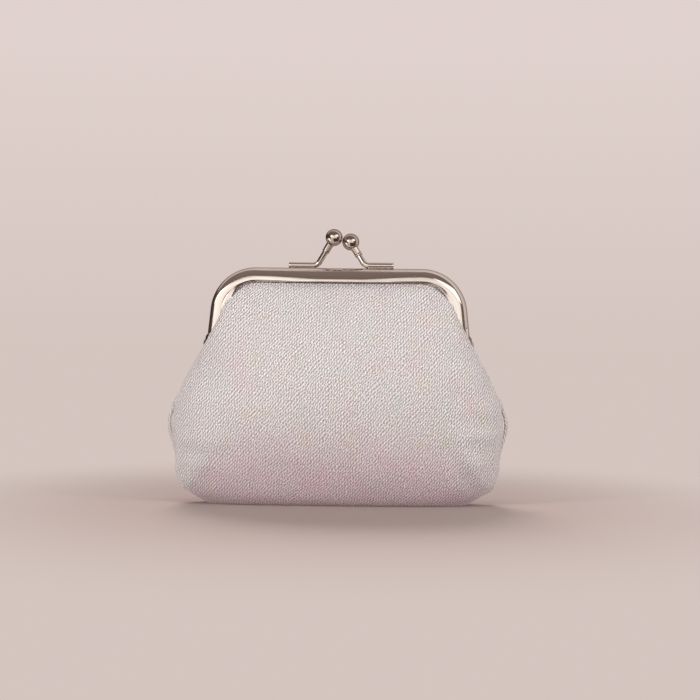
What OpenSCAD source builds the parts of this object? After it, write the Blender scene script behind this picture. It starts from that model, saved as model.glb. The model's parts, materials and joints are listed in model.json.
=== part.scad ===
/* [Frame] */
// Width across the closed frame at the height of its hinge pins
frame_w = 86.8; // [74:0.2:100]
// Height of the frame from the hinge pins to its flat top
frame_rise = 25.5; // [22:0.5:34]
// Outer radius of the two upper corners
corner_r = 15; // [10:0.5:16]
// Angle at which the legs splay outwards
leg_splay = 6; // [0:0.5:9]
// Height of the frame's face, from its outer edge to its lip
face_h = 4.5; // [4:0.1:6]
// Depth of one half's channel, from its inner wall to its face
channel_d = 4.9; // [4.7:0.1:6.5]
// Thickness of the sheet metal
sheet_t = 0.5; // [0.3:0.05:0.6]
// Radius of the frame's rounded outer edge
edge_r = 3; // [1:0.1:3.4]
// Gap between the two closed halves
halves_gap = 0.2; // [0.1:0.05:0.5]

/* [Hinge] */
// Radius of the round lug at each leg's end
lug_r = 3; // [2.6:0.1:3.6]
// Thickness of a lug
lug_t = 0.6; // [0.4:0.05:0.9]
// Radius of the rivet's shank
rivet_r = 0.9; // [0.7:0.05:1.2]
// Radius of the rivet's outer head
rivet_head_r = 1.8; // [1.5:0.05:2.2]
// Thickness of the rivet's outer head
rivet_head_t = 0.7; // [0.5:0.05:1]
// Radius of the rivet's peened inner end
rivet_tail_r = 1.5; // [1.3:0.05:1.8]
// Thickness of the rivet's peened inner end
rivet_tail_t = 0.45; // [0.3:0.05:0.7]
// Radius of the inner washer
washer_r = 1.9; // [1.6:0.05:2.3]
// Thickness of the inner washer
washer_t = 0.3; // [0.2:0.05:0.5]
// Radial clearance of a rivet in its lugs and washer
rivet_fit = 0.05; // [0.02:0.01:0.09]
// Clearance between the faces stacked along a rivet
stack_gap = 0.06; // [0.03:0.01:0.12]

/* [Clasp] */
// Diameter of a clasp ball
ball_d = 5.6; // [4.5:0.1:6]
// Distance between the ball centres across the purse
ball_pitch = 5.5; // [5.5:0.1:8]
// How far the front-facing ball's centre lies left of the middle
ball_left = 1.85; // [0:0.05:3]
// Height of the left ball's centre above the frame
ball_left_h = 10.1; // [8:0.1:13]
// Height of the right ball's centre above the frame
ball_right_h = 8.8; // [7:0.1:12]
// How far each ball's centre reaches past the closing plane
ball_cross = 1; // [0.5:0.1:1.6]
// Diameter of the clasp arm's rod
arm_d = 1.9; // [1.4:0.1:2.2]
// Radius of the arm's bend, at the rod's centre
arm_bend_r = 2.5; // [2:0.1:4]
// Angle at which the arm rises from its foot
arm_rise = 60; // [50:1:70]
// Length of the arm's straight foot
foot_len = 8; // [5:0.1:10]
// Distance of the foot's centre from the closing plane
foot_y = 1.3; // [1.25:0.05:1.7]
// Thickness of the braze under the foot
braze_t = 0.02; // [0.01:0.01:0.05]
// Diameter of the collar below each ball
collar_d = 2.4; // [2.2:0.1:3.2]
// Length of the collar beyond the ball
collar_len = 2.8; // [0.6:0.1:3.4]
// Radial clearance of a ball on its rod
ball_fit = 0.02; // [0.01:0.01:0.05]

/* [Bag] */
// Height of the hinge pins above the base
hinge_h = 52; // [46:0.5:60]
// Greatest width of the bag
bag_w = 111.5; // [100:0.5:124]
// Height of the bag's widest level
bag_wide_h = 26; // [22:0.5:32]
// Width of the bag at the side seams' upper ends
bag_neck_w = 94; // [90:0.5:102]
// Width between the boxed lower corners
corner_w = 104.5; // [92:0.5:112]
// Height of the boxed lower corners
corner_h = 8; // [5:0.5:12]
// Width of the flat base
base_w = 76; // [60:0.5:90]
// Greatest depth of the bag, front to back
bag_d = 36; // [30:0.5:44]
// Height of the bag's deepest level
bag_deep_h = 28; // [22:0.5:34]
// Depth of the flat base, front to back
base_d = 19; // [14:0.5:26]
// How slowly the panels swell below the frame's lip
mouth_swell = 0.75; // [0.6:0.05:1]
// How square the bag's sides are in plan
side_square = 2.6; // [2:0.1:3.2]
// How square the bag's front is in plan
front_square = 2.2; // [2:0.1:3]

/* [Fabric] */
// Thickness of the outer fabric
fabric_t = 0.6; // [0.4:0.05:0.7]
// Thickness of the padding
padding_t = 1; // [0.6:0.05:1.1]
// Thickness of the lining
lining_t = 0.3; // [0.2:0.05:0.35]
// Gap between neighbouring layers
layer_gap = 0.03; // [0.02:0.01:0.05]
// Gap between the front and rear panels along their seams
seam_gap = 0.1; // [0.06:0.02:0.2]
// Gap between the fabric gripped by the frame and the fabric below it
split_gap = 0.3; // [0.2:0.05:0.5]
// Gap between the fabric and the metal next to it
metal_gap = 0.2; // [0.1:0.05:0.3]
// Diameter of the paper cord that wedges the fabric in the channel
cord_d = 1.4; // [1:0.1:1.5]

/* [Hidden] */

top_z = hinge_h + frame_rise;
corner_z = top_z - corner_r;
corner_x = frame_w / 2 - (corner_r + (corner_z - hinge_h) * sin(leg_splay)) / cos(leg_splay);
// Gap between the lug and the end of the channel
leg_gap = 0.4;
leg_end_z = hinge_h + lug_r + leg_gap;
leg_len = (corner_z - leg_end_z) / cos(leg_splay) + corner_r * tan(leg_splay);
wall_in = halves_gap / 2;
wall_out = wall_in + channel_d;

rear_lug_x = leg_x(corner_r, leg_end_z);
front_lug_x = rear_lug_x + stack_gap * 2;
// Height of the lug's root inside the channel
lug_root_h = 1.2;
// How far a hole's cutter runs past each face
hole_run = 1;
// How far the rivet's shank reaches into its head
shank_in_head = 0.1;
// Share of the rivet head's radius that its flat top keeps
head_top_share = 0.6;

wire_r = arm_d / 2;
foot_z = top_z + wire_r + braze_t;
// Distance from a ball's centre to the end of its rod
ball_socket = 1.2;

fabric_in = fabric_t;
padding_out = fabric_in + layer_gap;
padding_in = padding_out + padding_t;
lining_out = padding_in + layer_gap;
lining_in = lining_out + lining_t;

// Height of the split between the gripped cloth and the rest, below the lugs
split_drop = 1;
split_z = hinge_h - lug_r - split_drop;
lip_e = corner_r - face_h - metal_gap;
hem_y = wall_out - sheet_t - metal_gap;
hem_e = corner_r - edge_r - metal_gap / 2 + sqrt(metal_gap * (2 * (edge_r - sheet_t) - metal_gap));
cord_n = face_h / 2;
// Gap between the paper cord and the channel's inner wall
cord_gap = 0.1;
cord_y = wall_in + sheet_t + cord_gap + cord_d / 2;

// Exponents of the rounded foot below the deepest level and of the boxed corner
foot_curve = [2.2, 0.62];
box_curve = [1.5, 0.7];
// How far the side edge of the gripped cloth stays inside the bag's neck
neck_inset = 0.5;
// How far the curved part of the cloth stays inside the lip, and below the legs inside its own edge
lip_inset = 1;
free_inset = 1.5;
// How fast the rows of the gripped cloth spread out below the lip, and the step of its first row
row_spread = 1.25;
first_row = 0.1;

round_facets = 48;
rod_facets = 32;
edge_steps = 8;
corner_steps = 12;
cord_sides = 8;
arm_sides = 20;
arm_bend_steps = 8;
mouth_rows_framed = 8;
mouth_rows_free = 4;
mouth_cols = 14;
belly_rows = 12;
base_rows = 3;
base_taper = 4;
base_end_share = 0.03;
belly_cols = 18;

steel = "#d8d9dc";
cloth = "#efe6e4";
fleece = "#f4f2ee";
satin = "#e3d7d6";
kraft = "#c9ab7d";

// Half width, at height z, of the line that lies e outside the corner centres and follows the splayed leg
function leg_x(e, z) =
    z > corner_z + e * sin(leg_splay)
        ? corner_x + sqrt(max(0, e * e - pow(z - corner_z, 2)))
        : corner_x + (e + (corner_z - z) * sin(leg_splay)) / cos(leg_splay);

// Depth of the bag's front at height z, from its middle plane: a quarter wave up to the lip, a round foot
function bag_depth(z) =
    z >= bag_deep_h
        ? hem_y + (bag_d / 2 - hem_y)
            * sin(90 * pow(max(0, corner_z + lip_e - z) / (corner_z + lip_e - bag_deep_h), mouth_swell))
        : base_d / 2 + (bag_d - base_d) / 2
            * pow(max(0, 1 - pow(1 - z / bag_deep_h, foot_curve[0])), foot_curve[1]);

// Half width of the bag at height z: a quarter wave above the widest level, a drawn-in side, a boxed corner
function bag_half(z) =
    z >= bag_wide_h
        ? bag_neck_w / 2 + (bag_w - bag_neck_w) / 2 * sin(90 * (split_z - z) / (split_z - bag_wide_h))
        : z >= corner_h
            ? bag_w / 2 - (bag_w - corner_w) / 2
                * (1 - cos(180 * (bag_wide_h - z) / (bag_wide_h - corner_h))) / 2
            : base_w / 2 + (corner_w - base_w) / 2
                * pow(max(0, 1 - pow(1 - z / corner_h, box_curve[0])), box_curve[1]);

// Place in plan along a flattened oval of half width w and half depth d, at angle a from the front
function oval(w, d, a) = [
    sign(a) * w * pow(abs(sin(a)), 2 / side_square),
    d * pow(abs(cos(a)), 2 / front_square)
];

// One row of a belly surface: an oval in plan whose ends lie at the seam, or a share of its depth before it
function belly_row(w, d, z, end_share = 0) = [
    for (c = [0:belly_cols])
        let (p = oval(w, d - seam_gap / 2, -90 + 180 * c / belly_cols))
            [p[0], -seam_gap / 2 - (c == 0 || c == belly_cols ? end_share * d : p[1]), z]
];

// Rows of a belly surface from its upper edge down the wall and across the base to the middle
function belly_grid(off) = concat(
    [for (r = [0:belly_rows])
        let (z = split_z * (1 - sin(90 * r / belly_rows)))
            belly_row(bag_half(z) - off, bag_depth(z) - off, off + (split_z - off) * z / split_z)],
    [for (r = [1:base_rows])
        let (s = 1 - r / base_rows)
            belly_row(bag_half(0) - off - base_taper * (1 - s), seam_gap / 2 + (bag_depth(0) - off) * s, off,
                base_end_share)]
);

// Edge of the mouth fabric at height z: along the hem in the channel, then out in front of the lugs
function edge_x(z) =
    z >= leg_end_z
        ? leg_x(hem_e, z)
        : leg_x(hem_e, leg_end_z) + (bag_neck_w / 2 - neck_inset - leg_x(hem_e, leg_end_z))
            * sin(90 * (leg_end_z - z) / (leg_end_z - split_z));

function edge_y(z) =
    z >= leg_end_z
        ? hem_y
        : max(
            z > hinge_h ? hem_y : 0,
            lining_in + metal_gap * 2
                + sqrt(max(0, pow(lug_r + leg_gap, 2) - pow(z - hinge_h, 2)))
        );

// Half width of the fabric's free part at height z, inside the frame's lip
function lip_x(z) =
    z >= leg_end_z
        ? leg_x(lip_e, min(z, corner_z + lip_e)) - lip_inset
        : edge_x(z) - (face_h - lip_inset) * (z - split_z) / (leg_end_z - split_z) - free_inset;

// Heights of the mouth's rows, from the hem to the edge that meets the belly
mouth_z = concat(
    [corner_z + hem_e, corner_z + lip_e + first_row],
    [for (r = [0:mouth_rows_framed])
        corner_z + lip_e - (corner_z + lip_e - leg_end_z) * pow(r / mouth_rows_framed, row_spread)],
    [for (r = [1:mouth_rows_free])
        leg_end_z - (leg_end_z - split_z - split_gap) * r / mouth_rows_free]
);

// Rows of a mouth surface, set back by off from the outer surface
function mouth_grid(off) = [
    for (z = mouth_z)
        let (
            w = z > corner_z + lip_e ? corner_x - lip_inset : lip_x(z),
            d = max(bag_depth(z) - edge_y(z), 0),
            y = edge_y(z)
        )
            concat(
                [[-edge_x(z), off - y, z]],
                [for (c = [0:mouth_cols])
                    let (a = -90 + 180 * c / mouth_cols, p = oval(w, d, a))
                        [p[0], off - y - (c == 0 || c == mouth_cols ? 0 : p[1]), z]],
                [[edge_x(z), off - y, z]]
            )
];

// Closes an outer and an inner grid of points, both rows by columns, into one solid
module layer_solid(outer, inner) {
    rows = len(outer) - 1;
    cols = len(outer[0]) - 1;
    far = (rows + 1) * (cols + 1);
    function at(r, c) = r * (cols + 1) + c;
    polyhedron(
        points = concat([for (row = outer) each row], [for (row = inner) each row]),
        faces = concat(
            [for (r = [0:rows - 1], c = [0:cols - 1]) each [
                [at(r, c), at(r, c + 1), at(r + 1, c + 1)],
                [at(r, c), at(r + 1, c + 1), at(r + 1, c)],
                [far + at(r, c), far + at(r + 1, c + 1), far + at(r, c + 1)],
                [far + at(r, c), far + at(r + 1, c), far + at(r + 1, c + 1)]
            ]],
            [for (c = [0:cols - 1]) each [
                [at(0, c + 1), at(0, c), far + at(0, c)],
                [at(0, c + 1), far + at(0, c), far + at(0, c + 1)],
                [at(rows, c), at(rows, c + 1), far + at(rows, c + 1)],
                [at(rows, c), far + at(rows, c + 1), far + at(rows, c)]
            ]],
            [for (r = [0:rows - 1]) each [
                [at(r, 0), at(r + 1, 0), far + at(r + 1, 0)],
                [at(r, 0), far + at(r + 1, 0), far + at(r, 0)],
                [at(r + 1, cols), at(r, cols), far + at(r, cols)],
                [at(r + 1, cols), far + at(r, cols), far + at(r + 1, cols)]
            ]]
        )
    );
}

module mouth_layer(out_off, in_off) {
    layer_solid(mouth_grid(out_off), mouth_grid(in_off));
}

module belly_layer(out_off, in_off) {
    layer_solid(belly_grid(out_off), belly_grid(in_off));
}

// Turns a front piece into its rear twin
module to_rear() {
    mirror([0, 1, 0]) children();
}

module both_sides() {
    children();
    mirror([1, 0, 0]) children();
}

// One surface of the sheet in section, set in by off: away from the bag, then away from the closing plane
function channel_line(off) = concat(
    [[-face_h, wall_in + off], [-off, wall_in + off]],
    [for (i = [0:edge_steps]) let (a = 90 * i / edge_steps)
        [-edge_r + (edge_r - off) * cos(a), wall_out - edge_r + (edge_r - off) * sin(a)]],
    [[-face_h, wall_out - off]]
);

// Round section of the paper cord, in the same two axes
cord_line = [
    for (i = [0:cord_sides - 1]) let (a = 360 * i / cord_sides)
        [-cord_n + cord_d / 2 * cos(a), cord_y - cord_d / 2 * sin(a)]
];

// Stations of the frame's line from right to left, each a centre across and up and the outward normal's angle:
// a splayed leg of the given length, a corner, the top bar, the other corner, the other leg
function frame_line(leg) = concat(
    [[corner_x + leg * sin(leg_splay), corner_z - leg * cos(leg_splay), leg_splay]],
    [for (i = [0:corner_steps]) [corner_x, corner_z, leg_splay + (90 - leg_splay) * i / corner_steps]],
    [for (i = [0:corner_steps]) [-corner_x, corner_z, 90 + (90 - leg_splay) * i / corner_steps]],
    [[-corner_x - leg * sin(leg_splay), corner_z - leg * cos(leg_splay), 180 - leg_splay]]
);

// Rows of points of a section carried along the stations, on the front side
function swept(section, line) = [
    for (s = line) [
        for (p = section)
            [s[0] + (corner_r + p[0]) * cos(s[2]), -p[1], s[1] + (corner_r + p[0]) * sin(s[2])]
    ]
];

// Closes rings of points into one rod with flat ends
module rod_solid(rings) {
    last = len(rings) - 1;
    n = len(rings[0]);
    polyhedron(
        points = [for (ring = rings) each ring],
        faces = concat(
            [for (r = [0:last - 1], c = [0:n - 1]) let (d = (c + 1) % n) each [
                [r * n + c, r * n + d, (r + 1) * n + d],
                [r * n + c, (r + 1) * n + d, (r + 1) * n + c]
            ]],
            [[for (c = [n - 1:-1:0]) c], [for (c = [0:n - 1]) last * n + c]]
        )
    );
}

// Bent sheet of one half, on the front side
module channel() {
    line = frame_line(leg_len);
    layer_solid(swept(channel_line(0), line), swept(channel_line(sheet_t), line));
}

// A disc on the hinge axis whose inner face is at x
module hinge_disc(x, r, t) {
    translate([x, 0, hinge_h]) rotate([0, 90, 0]) cylinder(r = r, h = t, $fn = round_facets);
}

// Flat lug with its hole, on the front side of the hinge axis, whose outer face is at x
module lug(x) {
    difference() {
        union() {
            hinge_disc(x - lug_t, lug_r, lug_t);
            translate([x - lug_t, -lug_r, hinge_h])
                cube([lug_t, lug_r - wall_in, lug_r + leg_gap + lug_root_h]);
        }
        hinge_disc(x - lug_t - hole_run, rivet_r + rivet_fit, lug_t + 2 * hole_run);
    }
}

module front_frame() {
    color(steel) {
        channel();
        both_sides() {
            lug(front_lug_x + lug_t);
            translate([rear_lug_x - lug_t, -lug_r, leg_end_z])
                cube([front_lug_x - rear_lug_x + 2 * lug_t, lug_r - wall_in - sheet_t, lug_root_h]);
        }
    }
}

module rear_frame() {
    color(steel) to_rear() {
        channel();
        both_sides() lug(rear_lug_x);
    }
}

module hinge_rivet() {
    head_x = front_lug_x + lug_t + stack_gap;
    tail_x = rear_lug_x - lug_t - washer_t - 2 * stack_gap;
    color(steel) {
        hinge_disc(tail_x - rivet_tail_t, rivet_r, head_x - tail_x + rivet_tail_t + shank_in_head);
        hinge_disc(tail_x - rivet_tail_t, rivet_tail_r, rivet_tail_t);
        hinge_disc(head_x, rivet_head_r, rivet_head_t / 2);
        translate([head_x + rivet_head_t / 2, 0, hinge_h]) rotate([0, 90, 0])
            cylinder(
                r1 = rivet_head_r,
                r2 = rivet_head_r * head_top_share,
                h = rivet_head_t / 2,
                $fn = round_facets
            );
    }
}

module left_hinge_rivet() {
    mirror([1, 0, 0]) hinge_rivet();
}

module right_hinge_rivet() {
    hinge_rivet();
}

module hinge_washer() {
    washer_x = rear_lug_x - lug_t - stack_gap - washer_t;
    color(steel) difference() {
        hinge_disc(washer_x, washer_r, washer_t);
        hinge_disc(washer_x - hole_run, rivet_r + rivet_fit, washer_t + 2 * hole_run);
    }
}

module left_hinge_washer() {
    mirror([1, 0, 0]) hinge_washer();
}

module right_hinge_washer() {
    hinge_washer();
}

// Distance up the leaning plane from the foot's centre to a ball h above the frame
function arm_reach(h) = norm([h - (foot_z - top_z), foot_y + ball_cross]);

// Angle at which an arm leans across the closing plane towards a ball h above the frame
function arm_lean(h) = atan2(foot_y + ball_cross, h - (foot_z - top_z));

// Straight length of the rod from its bend to the ball's centre
function arm_straight(h) = (arm_reach(h) - arm_bend_r * (1 - cos(arm_rise))) / sin(arm_rise);

// Distance along the purse from the end of the foot to the ball's centre
function arm_run(h) = arm_bend_r * sin(arm_rise) + arm_straight(h) * cos(arm_rise);

// Stations of an arm's rod in its plane, each a place along and up and the rod's slope: foot, bend, straight
function arm_line(straight) = concat(
    [[-foot_len, 0, 0]],
    [for (i = [0:arm_bend_steps]) let (a = arm_rise * i / arm_bend_steps)
        [arm_bend_r * sin(a), arm_bend_r * (1 - cos(a)), a]],
    [[
        arm_bend_r * sin(arm_rise) + straight * cos(arm_rise),
        arm_bend_r * (1 - cos(arm_rise)) + straight * sin(arm_rise),
        arm_rise
    ]]
);

// Places its children in the rear arm's leaning plane: the end of the foot at the origin, the ball to its right
module arm_plane(ball_x, h) {
    translate([ball_x - arm_run(h), foot_y, foot_z]) rotate([arm_lean(h), 0, 0]) children();
}

// Places its children where the rod leaves its bend, with +Z along the rod
module arm_shaft_end() {
    translate([arm_bend_r * sin(arm_rise), 0, arm_bend_r * (1 - cos(arm_rise))])
        rotate([0, 90 - arm_rise, 0]) children();
}

// Rod of one arm that leans forwards: foot along the frame, bend, straight rise into the ball
module clasp_arm(ball_x, h) {
    arm_plane(ball_x, h) rod_solid([
        for (s = arm_line(arm_straight(h) - ball_socket)) [
            for (i = [0:arm_sides - 1]) let (a = 360 * i / arm_sides)
                [s[0] - wire_r * cos(a) * sin(s[2]), -wire_r * sin(a), s[1] + wire_r * cos(a) * cos(s[2])]
        ]
    ]);
}

// Ball of one arm, with its collar and the socket that the rod enters
module clasp_ball(ball_x, h) {
    arm_plane(ball_x, h) arm_shaft_end() translate([0, 0, arm_straight(h)]) difference() {
        union() {
            sphere(d = ball_d, $fn = round_facets);
            translate([0, 0, -ball_d / 2 - collar_len])
                cylinder(d = collar_d, h = ball_d / 2 + collar_len, $fn = rod_facets);
        }
        translate([0, 0, -ball_d])
            cylinder(r = wire_r + ball_fit, h = ball_d - ball_socket + ball_fit, $fn = rod_facets);
    }
}

// The front arm stands on the right and leans back, so it is the rear arm's shape turned half round
module turned() {
    rotate([0, 0, 180]) children();
}

module front_clasp_arm() {
    color(steel) turned() clasp_arm(ball_left - ball_pitch, ball_right_h);
}

module rear_clasp_arm() {
    color(steel) clasp_arm(-ball_left, ball_left_h);
}

module front_clasp_ball() {
    color(steel) turned() clasp_ball(ball_left - ball_pitch, ball_right_h);
}

module rear_clasp_ball() {
    color(steel) clasp_ball(-ball_left, ball_left_h);
}

module front_paper_cord() {
    color(kraft) rod_solid(swept(cord_line, frame_line(leg_len - metal_gap)));
}

module rear_paper_cord() {
    to_rear() front_paper_cord();
}

module front_fabric_mouth() {
    color(cloth) mouth_layer(0, fabric_in);
}

module front_fabric_belly() {
    color(cloth) belly_layer(0, fabric_in);
}

module rear_fabric_mouth() {
    to_rear() front_fabric_mouth();
}

module rear_fabric_belly() {
    to_rear() front_fabric_belly();
}

module front_padding_mouth() {
    color(fleece) mouth_layer(padding_out, padding_in);
}

module front_padding_belly() {
    color(fleece) belly_layer(padding_out, padding_in);
}

module rear_padding_mouth() {
    to_rear() front_padding_mouth();
}

module rear_padding_belly() {
    to_rear() front_padding_belly();
}

module front_lining_mouth() {
    color(satin) mouth_layer(lining_out, lining_in);
}

module front_lining_belly() {
    color(satin) belly_layer(lining_out, lining_in);
}

module rear_lining_mouth() {
    to_rear() front_lining_mouth();
}

module rear_lining_belly() {
    to_rear() front_lining_belly();
}

front_frame();
rear_frame();
left_hinge_rivet();
right_hinge_rivet();
left_hinge_washer();
right_hinge_washer();
front_clasp_arm();
rear_clasp_arm();
front_clasp_ball();
rear_clasp_ball();
front_paper_cord();
rear_paper_cord();
front_fabric_mouth();
front_fabric_belly();
rear_fabric_mouth();
rear_fabric_belly();
front_padding_mouth();
front_padding_belly();
rear_padding_mouth();
rear_padding_belly();
front_lining_mouth();
front_lining_belly();
rear_lining_mouth();
rear_lining_belly();
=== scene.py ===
import json
import math
import bmesh
import bpy
import numpy as np
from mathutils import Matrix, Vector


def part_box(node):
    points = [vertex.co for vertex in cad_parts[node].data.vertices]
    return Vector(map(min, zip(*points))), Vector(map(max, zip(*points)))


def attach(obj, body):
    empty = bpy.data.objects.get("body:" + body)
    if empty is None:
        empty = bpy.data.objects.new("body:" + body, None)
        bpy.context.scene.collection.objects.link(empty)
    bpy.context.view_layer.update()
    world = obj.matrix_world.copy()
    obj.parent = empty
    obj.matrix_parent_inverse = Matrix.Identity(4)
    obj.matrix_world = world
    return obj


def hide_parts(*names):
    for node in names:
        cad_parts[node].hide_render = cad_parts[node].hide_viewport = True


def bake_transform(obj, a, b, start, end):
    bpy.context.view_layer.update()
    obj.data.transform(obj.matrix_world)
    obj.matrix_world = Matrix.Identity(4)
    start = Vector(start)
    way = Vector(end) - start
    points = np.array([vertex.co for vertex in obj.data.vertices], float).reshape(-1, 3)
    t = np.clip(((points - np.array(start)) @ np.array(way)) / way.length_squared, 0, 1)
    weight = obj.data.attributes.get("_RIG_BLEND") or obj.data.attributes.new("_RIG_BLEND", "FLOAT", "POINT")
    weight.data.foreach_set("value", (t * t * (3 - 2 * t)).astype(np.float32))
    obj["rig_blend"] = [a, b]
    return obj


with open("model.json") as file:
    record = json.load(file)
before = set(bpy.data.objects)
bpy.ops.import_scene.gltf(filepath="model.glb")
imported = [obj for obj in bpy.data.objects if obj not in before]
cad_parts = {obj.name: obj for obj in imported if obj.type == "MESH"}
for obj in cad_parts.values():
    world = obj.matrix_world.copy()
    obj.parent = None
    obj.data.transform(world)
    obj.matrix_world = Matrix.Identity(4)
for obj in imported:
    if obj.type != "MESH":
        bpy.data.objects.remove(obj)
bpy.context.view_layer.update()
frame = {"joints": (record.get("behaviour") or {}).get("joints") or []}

mm = 0.001

# Places taken from the frame, in millimetres
hingeZ = frame["joints"][0]["pos_m"][2] / mm
frontLow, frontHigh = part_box("front_frame")
topZ = frontHigh.z / mm
faceY = -frontLow.y / mm  # distance of a half's face from the closing plane

# Metal frame: one bent channel per half, in millimetres
channel = {
    "width": 86.8,         # across the closed frame at the hinge pins
    "cornerRadius": 15.0,  # outer edge at the two upper corners
    "splay": 6.0,          # degrees that the legs lean outwards
    "faceHeight": 4.5,
    "sheet": 0.5,
    "edgeRadius": 4.1,     # rounded outer edge of the face
    "edgeFlat": 0.6,       # how much shallower that rounding is than high
    "topBend": 0.55,       # bend between the inner wall and the flat top
    "innerWall": 0.1,      # distance of the inner wall from the closing plane
    "faceCrown": 0.10,     # how far the face falls back towards its lip
    "barLean": 0.52,       # how far it leans out there instead, in the middle of the bar
    "legEdge": (0.37, 0.66),  # width of the rounded edge down the left and right leg, as a share of the bar's
    "legFrom": 20.0, "legFull": 75.0,  # degrees of turn from the bar between which the legs' form comes in
    "narrowFrom": 1.3,     # points of the section deeper than this narrow down the legs
    "legCrease": 0.085,    # depth of the crease along the lip of the legs
    "creaseAt": 0.76, "creaseWidth": 0.055,  # shares of the way from the rounded edge to the lip
    "legEnd": 55.4,        # height at which the channel stops
    "legRows": 18,
    "cornerRows": 40,
    "barRows": 48,
}
cornerR = channel["cornerRadius"]
cornerZ = topZ - cornerR
splay = math.radians(channel["splay"])
cornerX = channel["width"] / 2 - (
    cornerR + (cornerZ - hingeZ) * math.sin(splay)
) / math.cos(splay)


# Half width, at heights z, of the line that lies e outside the corner centres and follows the splayed leg
def legX(e, z):
    z = np.asarray(z, float)
    above = cornerX + np.sqrt(np.maximum(e * e - (z - cornerZ) ** 2, 0))
    below = cornerX + (e + (cornerZ - z) * math.sin(splay)) / math.cos(splay)
    return np.where(z > cornerZ + e * math.sin(splay), above, below)


# Rises from 0 to 1 between a and b with level ends
def ease(a, b, x):
    t = np.clip((np.asarray(x, float) - a) / (b - a), 0, 1)
    return t * t * (3 - 2 * t)


# Smooth curve through a few (place, value) pairs: cubic pieces whose slopes are the neighbours' mean slopes
def curveThrough(pairs, x):
    p = np.array(sorted(pairs), float)
    slope = np.gradient(p[:, 1], p[:, 0])
    i = np.clip(np.searchsorted(p[:, 0], x) - 1, 0, len(p) - 2)
    h = p[i + 1, 0] - p[i, 0]
    t = np.clip((x - p[i, 0]) / h, 0, 1)
    a, b = p[i, 1], p[i + 1, 1]
    return (
        (2 * t**3 - 3 * t**2 + 1) * a + (t**3 - 2 * t**2 + t) * h * slope[i]
        + (3 * t**2 - 2 * t**3) * b + (t**3 - t**2) * h * slope[i + 1]
    )


# Angles of a full turn, without its end
def fullTurn(steps):
    return np.linspace(0, 2 * math.pi, steps, endpoint=False)


# Quads of a grid of rows by cols points, closed round either way if asked
def gridQuads(rows, cols, roundRows=False, roundCols=False):
    r, c = np.meshgrid(np.arange(rows if roundRows else rows - 1),
                       np.arange(cols if roundCols else cols - 1), indexing="ij")
    r2, c2 = (r + 1) % rows, (c + 1) % cols
    quads = np.stack([r * cols + c, r * cols + c2, r2 * cols + c2, r2 * cols + c], -1)
    return quads.reshape(-1, 4)


# New piece from points in millimetres and quads or polygons, smooth shaded, with an optional cloth map
def newPiece(name, points, faces, material, cloth=None, outward=True):
    mesh = bpy.data.meshes.new(name)
    mesh.from_pydata((np.asarray(points, float).reshape(-1, 3) * mm).tolist(), [],
                     [list(map(int, f)) for f in faces])
    if cloth is not None:
        at = np.zeros(len(mesh.loops), np.int32)
        mesh.loops.foreach_get("vertex_index", at)
        layer = mesh.uv_layers.new(name="cloth")
        layer.data.foreach_set("uv", np.asarray(cloth, np.float32).reshape(-1, 2)[at].ravel())
    if outward:
        bm = bmesh.new()
        bm.from_mesh(mesh)
        bmesh.ops.recalc_face_normals(bm, faces=bm.faces)
        bm.to_mesh(mesh)
        bm.free()
    mesh.polygons.foreach_set("use_smooth", np.ones(len(mesh.polygons), bool))
    mesh.materials.append(material)
    piece = bpy.data.objects.new(name, mesh)
    bpy.context.scene.collection.objects.link(piece)
    return piece


# Adds a finishing modifier
def finishWith(piece, kind, **values):
    modifier = piece.modifiers.new(kind.lower(), kind)
    for key, value in values.items():
        setattr(modifier, key, value)


# Joins several pieces of one body into the first
def joined(pieces):
    bpy.ops.object.select_all(action="DESELECT")
    for p in pieces:
        p.select_set(True)
    bpy.context.view_layer.objects.active = pieces[0]
    bpy.ops.object.join()
    return pieces[0]


# Materials

# Starts a material and gives back it, its node tree and its Principled shader
def newMaterial(name, **settings):
    material = bpy.data.materials.new(name)
    material.use_nodes = True
    tree = material.node_tree
    shader = tree.nodes["Principled BSDF"]
    for key, value in settings.items():
        shader.inputs[key.replace("_", " ")].default_value = value
    return material, tree, shader


# Starts a shader node group with named inputs, given as (name, kind, default), and outputs
def newGroup(name, inputs, outputs):
    tree = bpy.data.node_groups.new(name, "ShaderNodeTree")
    for label, kind, default in inputs:
        socket = tree.interface.new_socket(label, in_out="INPUT", socket_type="NodeSocket" + kind)
        if default is not None:
            socket.default_value = default
    for label, kind in outputs:
        tree.interface.new_socket(label, in_out="OUTPUT", socket_type="NodeSocket" + kind)
    return tree, tree.nodes.new("NodeGroupInput"), tree.nodes.new("NodeGroupOutput")


# Feeds a socket from another socket or sets its value
def feed(tree, socket, value):
    if isinstance(value, bpy.types.NodeSocket):
        tree.links.new(value, socket)
    else:
        socket.default_value = value


def mathOf(tree, operation, a, b=0.0, c=0.0, clamp=False):
    node = tree.nodes.new("ShaderNodeMath")
    node.operation = operation
    node.use_clamp = clamp
    for socket, value in zip(node.inputs, (a, b, c)):
        feed(tree, socket, value)
    return node.outputs[0]


def noiseOf(tree, vector, scale, detail=2.0, roughness=0.5, colour=False):
    node = tree.nodes.new("ShaderNodeTexNoise")
    feed(tree, node.inputs["Vector"], vector)
    feed(tree, node.inputs["Scale"], scale)
    node.inputs["Detail"].default_value = detail
    node.inputs["Roughness"].default_value = roughness
    return node.outputs["Color" if colour else "Fac"]


def rangeOf(tree, value, low, high, toLow=0.0, toHigh=1.0):
    node = tree.nodes.new("ShaderNodeMapRange")
    for socket, v in zip(node.inputs[:5], (value, low, high, toLow, toHigh)):
        feed(tree, socket, v)
    return node.outputs[0]


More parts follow.
